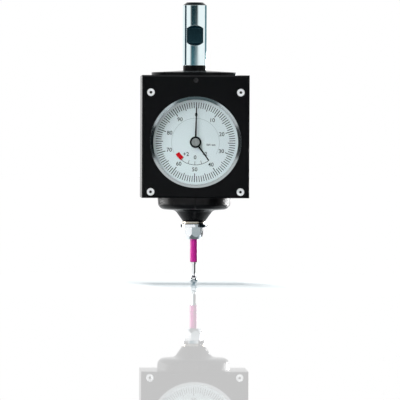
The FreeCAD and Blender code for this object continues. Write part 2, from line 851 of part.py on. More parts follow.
def make_movement_screws():
    small = cap_screw("small_screw", "small_head_diameter", "small_head_height", "small_screw_diameter",
                      "small_screw_length", "small_socket_width", "small_socket_depth")
    group("plate_screws", small, [(x, "front_plate_front", z, 0) for x, z in pillar_corners()])
    group("guide_screws", small, [(x, "rear_plate_front", z, 0) for x, z in guide_screw_places()])
    post_screw = cap_screw("post_screw", "screw_head_diameter", "screw_head_height", "screw_diameter",
                           "post_screw_length")
    group("post_screws", post_screw, [(x, "post_screw_seat", z, 180) for x, z in pillar_corners()])


def make_guide(label, top, bottom):
    """A guide block on the rear plate's back, bored for the plunger."""
    base = block("guide_width / 2", "rear_plate_back", "guide_back", bottom, top)
    tools = [rod("Z", "plunger_diameter + 2 * guide_play", bottom, top)]
    screw_end = "rear_plate_front + small_screw_length"
    middle = f"({top} + {bottom}) / 2"
    for side in LEFT_AND_RIGHT:
        place = f"{side}guide_screw_spread / 2"
        tools.append(rod("Y", "small_screw_diameter", "rear_plate_back", screw_end, place, middle))
    keep(cut(label, base, tools), label)


# Plunger with its rack

def make_plunger():
    top = "plunger_top"
    step = "plunger_step"
    body = turned("plunger", "Z", [
        ("0", "stem_end"),
        ("plunger_stem_diameter / 2", "stem_end"),
        ("plunger_stem_diameter / 2", step),
        ("plunger_diameter / 2", step),
        ("plunger_diameter / 2", top),
        ("0", top),
    ])
    front = "-plunger_diameter / 2"
    back = "plunger_diameter / 2"
    tip_line = "-(rack_line + tooth_addendum * rack_module)"
    root_line = "-(rack_line - tooth_dedendum * rack_module)"
    half_gap = "(rack_pitch / 2 + tooth_play * rack_module) / 2"
    slope = "tan(pressure_angle * 1deg)"
    mouth = f"({half_gap} + tooth_addendum * rack_module * {slope})"
    floor = f"({half_gap} - tooth_dedendum * rack_module * {slope})"
    first = "(rack_arbor_level + rack_lead_gaps * rack_pitch)"
    flat_top = f"({first} + rack_pitch)"
    flat_bottom = f"({first} - rack_gaps * rack_pitch)"
    outer = "-(plunger_diameter / 2 + rack_pitch)"
    pocket(body, "Y", front, back, [
        (outer, flat_bottom), (tip_line, flat_bottom), (tip_line, flat_top), (outer, flat_top),
    ])
    gap = pocket(body, "Y", front, back, [
        (root_line, f"{first} - {floor}"),
        (root_line, f"{first} + {floor}"),
        (tip_line, f"{first} + {mouth}"),
        (outer, f"{first} + {mouth}"),
        (outer, f"{first} - {mouth}"),
        (tip_line, f"{first} - {mouth}"),
    ])
    rack = body.newObject("PartDesign::LinearPattern", "rack")
    rack.Originals = [gap]
    rack.Direction = (gap.Profile[0], ["V_Axis"])
    rack.Reversed = True
    bind(rack, "Occurrences", "rack_gaps")
    bind(rack, "Length", "(rack_gaps - 1) * rack_pitch")
    body.Tip = rack
    keep(body, "plunger_rack")


def make_plunger_tip():
    ball = doc.addObject("Part::Sphere", "tip_ball")
    bind(ball, "Radius", "tip_diameter / 2")
    place(ball, z="tip_centre")
    socket = rod("Z", "plunger_stem_diameter", "stem_end", "tip_centre + tip_diameter")
    keep(cut("plunger_tip", ball, [socket]), "plunger_tip")


# Wheel train

def involute(angle):
    return math.tan(angle) - angle


def gear_face(teeth, module, phase):
    """A gear's outline in the XZ plane, one tooth centred at the phase, measured from +X to +Z."""
    pitch_radius = teeth * module / 2
    tip_radius = pitch_radius + size("tooth_addendum") * module
    root_radius = pitch_radius - size("tooth_dedendum") * module
    pressure = math.radians(size("pressure_angle"))
    base_radius = pitch_radius * math.cos(pressure)
    thickness = math.pi * module / 2 - size("tooth_play") * module
    half_at_base = thickness / (2 * pitch_radius) + involute(pressure)
    half_at_tip = half_at_base - involute(math.acos(base_radius / tip_radius))
    low_radius = max(base_radius, root_radius)
    half_at_low = half_at_base - involute(math.acos(base_radius / low_radius))
    corners = []
    for tooth in range(teeth):
        middle = phase + 2 * math.pi * tooth / teeth
        for radius, angle in (
            (root_radius, middle - half_at_low),
            (tip_radius, middle - half_at_tip),
            (tip_radius, middle + half_at_tip),
            (root_radius, middle + half_at_low),
        ):
            corners.append(Vector(radius * math.cos(angle), 0, radius * math.sin(angle)))
    corners.append(corners[0])
    return Part.Face(Part.makePolygon(corners))


def gear(teeth_name, module_name, front, back, x, z, phase):
    """A toothed disc without its bore, from one face to the other along Y."""
    teeth = round(size(teeth_name))
    face = gear_face(teeth, size(module_name), phase)
    toothed = doc.addObject("Part::Feature", "toothed")
    toothed.Shape = face.extrude(Vector(0, size(back) - size(front), 0))
    return place(toothed, x, front, z)


def meshed(phase, teeth_name, direction, mate_name):
    """Where a tooth of the mate points, given a gear's phase and the direction to the mate."""
    mate_teeth = size(mate_name)
    shift = (phase - direction) * size(teeth_name) / mate_teeth
    return direction + math.pi - shift + math.pi / mate_teeth


def phases():
    """Where one tooth of each wheel points, so that the train is in mesh at rest."""
    to_rack_arbor = math.atan2(size("rack_arbor_rise"), size("rack_arbor_x"))
    to_centre = to_rack_arbor + math.pi
    pinion = to_rack_arbor
    return {
        "rack_pinion": 0.0,
        "centre_pinion": pinion,
        "large_wheel": meshed(pinion, "centre_pinion_teeth", to_rack_arbor, "large_wheel_teeth"),
        "take_up": meshed(pinion, "centre_pinion_teeth", 0.0, "take_up_teeth"),
        "motion_pinion": to_centre,
        "hour_wheel": meshed(to_centre, "motion_pinion_teeth", to_centre, "hour_wheel_teeth"),
    }


def wheel(label, teeth_name, module_name, bore, front, back, x, z, phase):
    """A wheel pressed on its arbor."""
    toothed = gear(teeth_name, module_name, front, back, x, z, phase)
    hole = rod("Y", bore, front, back, x, z)
    keep(cut(label, toothed, [hole]), label)


def make_rack_arbor(phase):
    x = "rack_arbor_x"
    z = "rack_arbor_level"
    shaft = rod("Y", "arbor_diameter", "motion_front", "rack_pinion_back", x, z)
    pinion = gear("rack_pinion_teeth", "rack_module", "rack_pinion_front", "rack_pinion_back", x, z,
                  phase["rack_pinion"])
    keep(joined("rack_arbor", [shaft, pinion]), "rack_arbor")
    wheel("large_wheel", "large_wheel_teeth", "wheel_module", "arbor_diameter", "large_wheel_front",
          "large_wheel_back", x, z, phase["large_wheel"])
    wheel("motion_pinion", "motion_pinion_teeth", "motion_module", "arbor_diameter", "motion_front",
          "motion_back", x, z, phase["motion_pinion"])


def make_centre_arbor(phase):
    shaft_end = "rear_plate_back - arbor_end_play"
    shaft = rod("Y", "arbor_diameter", "main_hand_front", shaft_end, "0", "dial_level")
    pinion = gear("centre_pinion_teeth", "wheel_module", "centre_pinion_front", "centre_pinion_back", "0",
                  "dial_level", phase["centre_pinion"])
    keep(joined("centre_arbor", [shaft, pinion]), "centre_arbor")


def make_take_up(phase):
    x = "take_up_distance"
    z = "dial_level"
    keep(rod("Y", "take_up_arbor_diameter", "front_plate_front + arbor_end_play",
             "rear_plate_back - arbor_end_play", x, z), "take_up_arbor")
    wheel("take_up_wheel", "take_up_teeth", "wheel_module", "take_up_arbor_diameter", "take_up_front",
          "take_up_back", x, z, phase["take_up"])
    collet = rod("Y", "hairspring_inner", "take_up_back", "hairspring_back", x, z)
    bore = rod("Y", "take_up_arbor_diameter", "take_up_back", "hairspring_back", x, z)
    keep(cut("hairspring_collet", collet, [bore]), "hairspring_collet")
    reach = "take_up_distance + (hairspring_outer + hairspring_post_diameter) / 2"
    keep(rod("Y", "hairspring_post_diameter", "hairspring_front", "rear_plate_front", reach, z),
         "hairspring_post")


def make_hairspring():
    """A flat spiral from the collet out to its post."""
    inner = size("hairspring_inner") / 2
    thickness = size("hairspring_thickness")
    growth = size("hairspring_outer") / 2 - thickness - inner
    turns = round(size("hairspring_turns"))
    points_each_turn = 24
    count = points_each_turn * turns

    def edge(offset):
        points = []
        for step in range(count + 1):
            angle = 2 * math.pi * turns * step / count
            radius = inner + offset + growth * step / count
            points.append(Vector(radius * math.cos(angle), 0, radius * math.sin(angle)))
        curve = Part.BSplineCurve()
        curve.interpolate(points)
        return curve.toShape(), points[0], points[-1]

    inside, inside_start, inside_end = edge(0.0)
    outside, outside_start, outside_end = edge(thickness)
    ends = [Part.makeLine(inside_end, outside_end), Part.makeLine(outside_start, inside_start)]
    outline = Part.Wire(Part.__sortEdges__([inside, ends[0], outside, ends[1]]))
    spring = doc.addObject("Part::Feature", "hairspring")
    spring.Shape = Part.Face(outline).extrude(Vector(0, size("hairspring_width"), 0))
    keep(place(spring, "take_up_distance", "hairspring_front", "dial_level"), "hairspring")


# Hands

def make_hand(label, length, root, tip, hub, bore, front, back, clockwise):
    """A tapered hand on its hub, turned clockwise from straight up."""
    body = new_body(label)
    pad(body, "Y", front, back, [
        (f"-{root} / 2", "0"), (f"{root} / 2", "0"), (f"{tip} / 2", length), (f"-{tip} / 2", length),
    ])
    bore_rod = rod("Y", bore, front, back)
    hand = cut(label, joined(label, [body, rod("Y", hub, front, back)]), [bore_rod])
    centre = Vector(0, 0, size("dial_level"))
    hand.Placement = FreeCAD.Placement(centre, Rotation(Vector(0, 1, 0), clockwise))
    bind(hand, "Placement.Base.z", "dial_level")
    keep(hand, label)


def make_hands(phase):
    make_hand("main_hand", "main_hand_length", "main_hand_root", "main_hand_tip", "hub_diameter",
              "arbor_diameter", "main_hand_front", "main_hand_back", size("main_hand_angle"))
    make_hand("small_hand", "small_hand_length", "small_hand_root", "small_hand_tip", "small_hand_hub",
              "tube_diameter", "small_hand_front", "small_hand_back", 180 - size("small_hand_angle"))
    cap_front = "main_hand_front - hub_cap_height"
    keep(rod("Y", "hub_cap_diameter", cap_front, "main_hand_front", "0", "dial_level"), "hub_cap")
    bore = rod("Y", "arbor_diameter + 2 * tube_play", "small_hand_front", "motion_back", "0", "dial_level")
    tube = rod("Y", "tube_diameter", "small_hand_front", "motion_back", "0", "dial_level")
    toothed = gear("hour_wheel_teeth", "motion_module", "motion_front", "motion_back", "0", "dial_level",
                   phase["hour_wheel"])
    keep(cut("hour_wheel", joined("hour_wheel", [toothed, tube]), [bore]), "hour_wheel")


# Lower flange, bush, carrier and main spring

def make_lower_flange():
    body = turned("lower_flange", "Z", [
        ("bush_diameter / 2", "lower_flange_bottom"),
        ("lower_flange_diameter / 2", "lower_flange_bottom"),
        ("lower_flange_diameter / 2", "box_bottom"),
        ("lower_spigot_diameter / 2", "box_bottom"),
        ("lower_spigot_diameter / 2", "lower_spigot_top"),
        ("bush_diameter / 2", "lower_spigot_top"),
    ])
    tools = []
    for x, y in lower_screw_places():
        tools.append(rod("Z", "lower_screw_diameter", "lower_flange_bottom", "box_bottom", x, y))
        tools.append(rod("Z", "lower_screw_head", "lower_flange_bottom", "lower_screw_seat", x, y))
    keep(cut("lower_flange", body, tools), "lower_flange")


def make_lower_screws():
    blank = turned("lower_screw", "Z", [
        ("0", "lower_flange_bottom"),
        ("lower_screw_head / 2", "lower_flange_bottom"),
        ("lower_screw_head / 2", "lower_screw_seat"),
        ("lower_screw_diameter / 2", "lower_screw_seat"),
        ("lower_screw_diameter / 2", "lower_screw_end"),
        ("0", "lower_screw_end"),
    ])
    socket = hexagon("socket_width", "lower_flange_bottom", "lower_flange_bottom + socket_depth")
    screw = cut("lower_screw", blank, [socket])
    group("lower_flange_screws", screw, [(x, y, "0", 0) for x, y in lower_screw_places()])


def make_guide_bush():
    keep(turned("guide_bush", "Z", [
        ("bush_bore / 2", "bush_bottom"),
        ("bush_diameter / 2", "bush_bottom"),
        ("bush_diameter / 2", "lower_spigot_top"),
        ("bush_bore / 2", "lower_spigot_top"),
    ]), "guide_bush")


def make_carrier():
    outer = "(bush_bore / 2 - carrier_play)"
    body = turned("carrier_sleeve", "Z", [
        ("carrier_bore / 2", "carrier_bottom"),
        (outer, "carrier_bottom"),
        (outer, "lower_spigot_top"),
        ("carrier_flange_diameter / 2", "lower_spigot_top"),
        ("carrier_flange_diameter / 2", "carrier_top"),
        ("carrier_bore / 2", "carrier_top"),
    ])
    pin_hole = rod("X", "pin_diameter", "-bush_bore / 2", "bush_bore / 2", "0", "pivot_level")
    keep(cut("carrier_sleeve", body, [pin_hole]), "carrier_sleeve")
    pin = rod("X", "pin_diameter", "ring_bore / 2 + pin_inset", outer)
    group("carrier_pins", pin, [("0", "0", "pivot_level", turn) for turn in (0, 180)])


def make_spring_seat():
    keep(turned("spring_seat", "Z", [
        ("spring_seat_bore / 2", "lower_spigot_top"),
        ("carrier_bore / 2", "lower_spigot_top"),
        ("carrier_bore / 2", "carrier_top"),
        ("spring_seat_bore / 2", "carrier_top"),
    ]), "spring_seat")


def make_main_spring():
    """A coil between the carrier's seat and the lower guide."""
    wire = size("wire_diameter")
    mean = (size("spring_diameter") - wire) / 2
    margin = wire / 2 + size("spring_end_play")
    start = size("carrier_top") + margin
    length = size("lower_guide_bottom") - margin - start
    helix = Part.makeHelix(length / round(size("spring_turns")), length, mean)
    section = Part.Wire(Part.makeCircle(wire / 2, Vector(mean, 0, 0), Vector(0, 1, 0)))
    coil = doc.addObject("Part::Feature", "coil")
    coil.Shape = Part.Wire(helix.Edges).makePipeShell([section], True, True)
    coil.Placement = FreeCAD.Placement(Vector(0, 0, start), Rotation())
    keep(coil, "main_spring")


# Gimbal and stylus holder

def make_gimbal():
    low = "pivot_level - ring_height / 2"
    high = "pivot_level + ring_height / 2"
    body = turned("gimbal_ring", "Z", [
        ("ring_bore / 2", low),
        ("ring_diameter / 2", low),
        ("ring_diameter / 2", high),
        ("ring_bore / 2", high),
    ])
    free_hole = "pin_diameter + 2 * pin_play"
    tools = [
        rod("X", free_hole, "-ring_diameter / 2", "ring_diameter / 2", "0", "pivot_level"),
        rod("Y", "pin_diameter", "-ring_diameter / 2", "ring_diameter / 2", "0", "pivot_level"),
    ]
    keep(cut("gimbal_ring", body, tools), "gimbal_ring")
    inner = "head_diameter / 2 - head_pin_depth + pin_inset"
    pin = rod("Y", "pin_diameter", inner, "ring_diameter / 2 - pin_inset")
    group("gimbal_pins", pin, [("0", "0", "pivot_level", turn) for turn in (0, 180)])


def make_holder():
    body = turned("stylus_holder", "Z", [
        ("0", "holder_end"),
        ("holder_stem_diameter / 2", "holder_end"),
        ("holder_stem_diameter / 2", "head_bottom"),
        ("head_diameter / 2", "head_bottom"),
        ("head_diameter / 2", "head_top"),
        ("seat_mouth / 2", "head_top"),
        ("0", "seat_apex"),
    ])
    width = "pin_diameter + 2 * pin_play"
    floor = "(head_diameter / 2 - head_pin_depth)"
    tools = [
        rod("Y", width, "-head_diameter / 2", f"-{floor}", "0", "pivot_level"),
        rod("Y", width, floor, "head_diameter / 2", "0", "pivot_level"),
    ]
    keep(cut("stylus_holder", body, tools), "stylus_holder")


# Boot

def make_boot():
    outer = "boot_diameter / 2"
    stem = "holder_stem_diameter / 2 + boot_play"
    room = "lower_flange_diameter / 2 + boot_play"
    ceiling = "boot_floor + boot_wall"
    keep(turned("boot", "Z", [
        (outer, "box_bottom"),
        (f"{outer} - boot_draft", "box_bottom - boot_skirt"),
        (f"{outer} - boot_corner_width", "boot_floor + boot_corner_height"),
        (f"{outer} - boot_shoulder_width", "boot_floor + boot_shoulder_height"),
        ("boot_neck_diameter / 2", "boot_floor"),
        ("boot_throat_diameter / 2", "boot_floor - boot_throat_drop"),
        ("boot_waist_diameter / 2", "boot_floor - boot_waist_drop"),
        ("boot_end_diameter / 2", "boot_end"),
        (stem, "boot_end"),
        (stem, "boot_end + boot_lip"),
        ("boot_waist_diameter / 2 - boot_wall", "boot_floor - boot_waist_drop"),
        ("boot_neck_diameter / 2 - boot_wall", ceiling),
        (room, ceiling),
        (room, "box_bottom"),
    ]), "boot")


# Clamp ring, collar and stylus

def make_clamp():
    for label, diameter, top, bottom in (
        ("clamp_ring", "clamp_ring_diameter", "boot_end", "ring_bottom"),
        ("clamp_seal", "clamp_seal_diameter", "ring_bottom", "collar_top"),
    ):
        keep(turned(label, "Z", [
            ("holder_stem_diameter / 2", bottom),
            (f"{diameter} / 2", bottom),
            (f"{diameter} / 2", top),
            ("holder_stem_diameter / 2", top),
        ]), label)


def make_collar():
    corner = "hex_width / sqrt(3)"
    prism = hexagon("hex_width", "hex_bottom", "hex_top", turn=size("hex_angle"))
    nose = turned("hex_nose", "Z", [
        ("0", "hex_bottom"),
        ("hex_nose_diameter / 2", "hex_bottom"),
        (corner, "hex_bottom + hex_nose_height"),
        (corner, "hex_top"),
        ("0", "hex_top"),
    ])
    hexagonal = doc.addObject("Part::Common", "hexagonal")
    hexagonal.Base = prism
    hexagonal.Tool = nose
    flange = rod("Z", "collar_flange_diameter", "hex_top", "collar_top")
    tools = [
        rod("Z", "holder_stem_diameter", "holder_end", "collar_top"),
        rod("Z", "stud_thread_diameter", "hex_bottom", "holder_end"),
    ]
    keep(cut("hex_collar", joined("hex_collar", [hexagonal, flange]), tools), "hex_collar")


def make_stylus():
    keep(rod("Z", "stud_thread_diameter", "hex_bottom - stud_reach", "holder_end"), "stylus_stud")
    sleeve = turned("break_sleeve", "Z", [
        ("0", "sleeve_bottom"),
        ("sleeve_diameter / 2 - sleeve_bevel", "sleeve_bottom"),
        ("sleeve_diameter / 2", "sleeve_bottom + sleeve_bevel"),
        ("sleeve_diameter / 2", "hex_bottom"),
        ("0", "hex_bottom"),
    ])
    tools = [
        rod("Z", "stud_thread_diameter", "hex_bottom - stud_reach", "hex_bottom"),
        rod("Z", "stylus_diameter", "sleeve_bottom", "sleeve_bottom + stylus_reach"),
    ]
    keep(cut("break_sleeve", sleeve, tools), "break_sleeve")
    ball_top = "ball_centre + ball_diameter / 2"
    keep(turned("stylus_stem", "Z", [
        ("0", "ball_socket_end"),
        ("stylus_neck_diameter / 2", "ball_socket_end"),
        ("stylus_neck_diameter / 2", ball_top),
        ("stylus_diameter / 2", f"{ball_top} + stylus_neck_length"),
        ("stylus_diameter / 2", "sleeve_bottom - stylus_collar_length"),
        ("stylus_collar_diameter / 2", "sleeve_bottom - stylus_collar_length"),
        ("stylus_collar_diameter / 2", "sleeve_bottom"),
        ("stylus_diameter / 2", "sleeve_bottom"),
        ("stylus_diameter / 2", "sleeve_bottom + stylus_reach"),
        ("0", "sleeve_bottom + stylus_reach"),
    ]), "stylus_stem")
    ball = doc.addObject("Part::Sphere", "ball")
    bind(ball, "Radius", "ball_diameter / 2")
    place(ball, z="ball_centre")
    socket = rod("Z", "stylus_neck_diameter", "ball_socket_end", ball_top)
    keep(cut("stylus_ball", ball, [socket]), "stylus_ball")


# Building and export

def build():
    fill_sheet()
    make_shank()
    make_top_flange()
    make_flange_nut()
    make_adjusters()
    make_housing()
    make_front_cover()
    make_cover_gasket()
    make_cover_screws()
    make_window()
    make_dial()
    make_front_plate()
    make_rear_plate()
    make_pillars()
    make_posts()
    make_movement_screws()
    make_guide("upper_guide", "upper_guide_top", "upper_guide_bottom")
    make_guide("lower_guide", "lower_guide_top", "lower_guide_bottom")
    make_plunger()
    make_plunger_tip()
    phase = phases()
    make_rack_arbor(phase)
    make_centre_arbor(phase)
    make_take_up(phase)
    make_hairspring()
    make_hands(phase)
    make_lower_flange()
    make_lower_screws()
    make_guide_bush()
    make_carrier()
    make_spring_seat()
    make_main_spring()
    make_gimbal()
    make_holder()
    make_boot()
    make_clamp()
    make_collar()
    make_stylus()
    doc.recompute()


def check():
    """Stop if any object failed or any sub-part is missing or broken."""
    for thing in doc.Objects:
        if "Invalid" in thing.State or "Error" in thing.State:
            raise RuntimeError(f"{thing.Label}: {thing.State}")
    for node in nodes:
        if node.Shape.isNull() or not node.Shape.isValid() or not node.Shape.Solids:
            raise RuntimeError(f"{node.Label}: no sound solid")


def export():
    os.makedirs("parts", exist_ok=True)
    for node in nodes:
        node.Shape.exportStep(f"parts/{node.Label}.step")
        print(node.Label, len(node.Shape.Solids), round(node.Shape.Volume, 3))
    print(len(nodes), "nodes")


build()
check()
export()
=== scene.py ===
"""Looks for the three-axis edge finder: finishes, printed dial, rubber boot, camera and studio.

Metres, in the frame of the CAD model: +Z runs up the shank and the dial faces -Y.
"""
import math

import bmesh
import bpy
from mathutils import Matrix, Vector


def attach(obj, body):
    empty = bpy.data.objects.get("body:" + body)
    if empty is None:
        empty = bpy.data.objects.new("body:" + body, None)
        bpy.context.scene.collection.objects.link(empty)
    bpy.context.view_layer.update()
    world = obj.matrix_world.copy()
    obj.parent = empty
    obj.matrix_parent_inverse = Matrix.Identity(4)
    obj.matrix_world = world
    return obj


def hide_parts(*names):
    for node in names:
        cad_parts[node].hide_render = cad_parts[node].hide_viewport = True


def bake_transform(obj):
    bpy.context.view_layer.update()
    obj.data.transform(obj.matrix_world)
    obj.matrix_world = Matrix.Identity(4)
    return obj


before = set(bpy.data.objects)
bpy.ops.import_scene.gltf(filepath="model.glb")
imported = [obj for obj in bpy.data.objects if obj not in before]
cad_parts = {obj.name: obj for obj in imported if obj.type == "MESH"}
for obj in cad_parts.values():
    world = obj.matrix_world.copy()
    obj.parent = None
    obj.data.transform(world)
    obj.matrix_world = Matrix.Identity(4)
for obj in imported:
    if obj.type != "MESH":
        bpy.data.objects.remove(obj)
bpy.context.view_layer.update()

MM = 0.001

# The dial's face, the front and top edge of the box and the floor
DIAL_CENTRE = Vector((0, 0, -37.7)) * MM
DIAL_FACE = -17.4 * MM
DIAL_TURN = math.radians(1.4)
INK_DEPTH = 0.03 * MM
FLOOR_LEVEL = -107.4 * MM
BOX_FRONT = -22


# Finishes

def finish(name, light, dark, metallic, roughness, grain=(900, 900, 900), depth=0.004, edge=0.0, **settings):
    """A surface of two close tones with fine grain, in object space, and softened edges."""
    material = bpy.data.materials.new(name)
    material.use_nodes = True
    nodes = material.node_tree.nodes
    links = material.node_tree.links
    shader = nodes["Principled BSDF"]
    shader.inputs["Metallic"].default_value = metallic
    for socket, value in settings.items():
        shader.inputs[socket.replace("_", " ")].default_value = value

    place = nodes.new("ShaderNodeTexCoord")
    stretch = nodes.new("ShaderNodeMapping")
    stretch.inputs["Scale"].default_value = grain
    speckle = nodes.new("ShaderNodeTexNoise")
    speckle.inputs["Scale"].default_value = 1.0
    speckle.inputs["Detail"].default_value = 4.0
    links.new(place.outputs["Object"], stretch.inputs["Vector"])
    links.new(stretch.outputs["Vector"], speckle.inputs["Vector"])

    tone = nodes.new("ShaderNodeMix")
    tone.data_type = "RGBA"
    tone.inputs["A"].default_value = (*dark, 1)
    tone.inputs["B"].default_value = (*light, 1)
    links.new(speckle.outputs["Fac"], tone.inputs["Factor"])
    links.new(tone.outputs["Result"], shader.inputs["Base Color"])

    polish = nodes.new("ShaderNodeMapRange")
    polish.inputs["To Min"].default_value = roughness[0]
    polish.inputs["To Max"].default_value = roughness[1]
    links.new(speckle.outputs["Fac"], polish.inputs["Value"])
    links.new(polish.outputs["Result"], shader.inputs["Roughness"])

    relief = nodes.new("ShaderNodeBump")
    relief.inputs["Strength"].default_value = 0.6
    relief.inputs["Distance"].default_value = depth * MM
    links.new(speckle.outputs["Fac"], relief.inputs["Height"])
    links.new(relief.outputs["Normal"], shader.inputs["Normal"])
    if edge:
        rounding = nodes.new("ShaderNodeBevel")
        rounding.samples = 6
        rounding.inputs["Radius"].default_value = edge * MM
        links.new(rounding.outputs["Normal"], relief.inputs["Normal"])
    return material


AROUND_SHANK = (150, 150, 9000)
AROUND_DIAL = (600, 9000, 600)

FINISHES = {
    "shank_steel": finish("shank_steel", (0.84, 0.95, 0.97), (0.76, 0.88, 0.90), 1.0, (0.06, 0.11),
                          AROUND_SHANK, 0.0008, 0.12),
    "ground_steel": finish("ground_steel", (0.74, 0.78, 0.80), (0.62, 0.67, 0.70), 1.0, (0.12, 0.20),
                           AROUND_SHANK, 0.0008, 0.12),
    "black_anodised": finish("black_anodised", (0.0034, 0.0036, 0.0040), (0.0022, 0.0024, 0.0028),
                             0.0, (0.18, 0.25), (2500, 2500, 2500), 0.001, 0.25, Specular_IOR_Level=0.09),
    # A copy of black anodised that carries a painted highlight along the box's top front edge.
    "box_anodised_painted_highlight": finish("box_anodised_painted_highlight", (0.0034, 0.0036, 0.0040), (0.0022, 0.0024, 0.0028),
                           0.0, (0.18, 0.25), (2500, 2500, 2500), 0.001, 0.25, Specular_IOR_Level=0.09),
    "black_steel": finish("black_steel", (0.020, 0.020, 0.022), (0.010, 0.010, 0.011), 0.0, (0.30, 0.45),
                          (1500, 1500, 1500), 0.002, 0.08),
    "aluminium": finish("aluminium", (0.78, 0.79, 0.80), (0.66, 0.67, 0.69), 1.0, (0.25, 0.38),
                        AROUND_SHANK, 0.002, 0.1),
    "black_rubber": finish("black_rubber", (0.0060, 0.0062, 0.0070), (0.0035, 0.0036, 0.0042),
                           0.0, (0.20, 0.28), (1800, 1800, 1800), 0.003, 0.0, Specular_IOR_Level=0.16),
    "bright_steel": finish("bright_steel", (0.90, 0.92, 0.93), (0.82, 0.84, 0.85), 0.55, (0.28, 0.40),
                           (3000, 3000, 3000), 0.001, 0.2),
    "screw_steel": finish("screw_steel", (0.92, 0.94, 0.95), (0.85, 0.87, 0.88), 0.4, (0.30, 0.42),
                          (3000, 3000, 3000), 0.0008, 0.2),
    "clear_glass": finish("clear_glass", (0.020, 0.026, 0.026), (0.016, 0.022, 0.022), 0.0, (0.01, 0.02),
                          (120, 120, 120), 0.0, 0.0, Alpha=0.08, Specular_IOR_Level=0.9),
    "grey_anodised": finish("grey_anodised", (0.46, 0.50, 0.51), (0.36, 0.40, 0.41), 1.0, (0.12, 0.18),
                            AROUND_DIAL, 0.002, 0.05),
    "dial_white": finish("dial_white", (0.78, 0.90, 0.92), (0.74, 0.86, 0.88), 0.0, (0.45, 0.60),
                         (1600, 1600, 1600), 0.002, 0.0, Specular_IOR_Level=0.2),
    "brass": finish("brass", (0.80, 0.62, 0.30), (0.68, 0.50, 0.22), 1.0, (0.22, 0.36),
                    AROUND_DIAL, 0.002, 0.05),
    "bronze": finish("bronze", (0.62, 0.40, 0.22), (0.50, 0.31, 0.16), 1.0, (0.25, 0.40),
                     (1200, 1200, 1200), 0.002, 0.08),
    "spring_steel": finish("spring_steel", (0.42, 0.45, 0.50), (0.30, 0.33, 0.38), 1.0, (0.22, 0.34),
                           (1200, 1200, 1200), 0.001),
    "hand_black": finish("hand_black", (0.0060, 0.0070, 0.0080), (0.0035, 0.0040, 0.0045), 0.0, (0.35, 0.45),
                         (1500, 1500, 1500), 0.001, 0.0, Specular_IOR_Level=0.15),
    "hub_grey": finish("hub_grey", (0.42, 0.45, 0.45), (0.16, 0.18, 0.18), 0.5, (0.30, 0.50),
                       (900, 900, 900), 0.004, 0.1),
    "pale_metal": finish("pale_metal", (0.72, 0.66, 0.56), (0.58, 0.53, 0.45), 1.0, (0.18, 0.30),
                         AROUND_SHANK, 0.002, 0.08),
    "chrome": finish("chrome", (0.90, 0.93, 0.95), (0.84, 0.87, 0.90), 1.0, (0.04, 0.09),
                     (500, 500, 500), 0.001, 0.15),
    "magenta_plastic": finish("magenta_plastic", (0.54, 0.006, 0.29), (0.47, 0.005, 0.25), 0.0, (0.28, 0.38),
                              (1800, 1800, 1800), 0.003, 0.1, Coat_Weight=0.15),
    "polished_steel": finish("polished_steel", (0.86, 0.88, 0.90), (0.80, 0.82, 0.84), 1.0, (0.03, 0.07),
                             (500, 500, 500), 0.0005),
}

INK_GREY = finish("ink_grey", (0.040, 0.058, 0.064), (0.028, 0.042, 0.048), 0.0, (0.5, 0.6),
                  (2500, 2500, 2500), 0.001, Specular_IOR_Level=0.1)
INK_PALE = finish("ink_pale", (0.40, 0.50, 0.52), (0.36, 0.46, 0.48), 0.0, (0.5, 0.6),
                  (2500, 2500, 2500), 0.001, Specular_IOR_Level=0.1)
INK_RED = finish("ink_red", (0.66, 0.004, 0.012), (0.58, 0.003, 0.010), 0.0, (0.5, 0.6),
                 (2500, 2500, 2500), 0.001, Specular_IOR_Level=0.1)

NODE_FINISHES = {
    "shank_steel": ("shank",),
    "ground_steel": ("plunger_rack", "rack_arbor", "centre_arbor", "take_up_arbor", "carrier_sleeve",
                     "gimbal_ring", "stylus_holder"),
    "black_anodised": ("top_flange",),
    "box_anodised_painted_highlight": ("housing", "front_cover"),
    "aluminium": ("flange_nut", "movement_posts", "lower_flange", "spring_seat"),
    "black_steel": ("run_out_adjusters",),
    "black_rubber": ("cover_gasket", "crystal_seal", "boot", "clamp_seal"),
    "screw_steel": ("cover_screws",),
    "bright_steel": ("plate_screws", "guide_screws", "post_screws", "plunger_tip",
                     "lower_flange_screws", "carrier_pins", "gimbal_pins", "stylus_stud"),
    "clear_glass": ("crystal",),
    "grey_anodised": ("crystal_retainer",),
    "dial_white": ("dial_plate",),
    "brass": ("movement_front_plate", "movement_rear_plate", "plate_pillars", "large_wheel", "motion_pinion",
              "take_up_wheel", "hairspring_collet", "hairspring_post", "hour_wheel"),
    "bronze": ("upper_guide", "lower_guide", "guide_bush"),
    "spring_steel": ("hairspring", "main_spring"),
    "hand_black": ("main_hand", "small_hand"),
    "hub_grey": ("hub_cap",),
    "pale_metal": ("clamp_ring",),
    "chrome": ("hex_collar",),
    "magenta_plastic": ("break_sleeve",),
    "polished_steel": ("stylus_stem", "stylus_ball"),
}


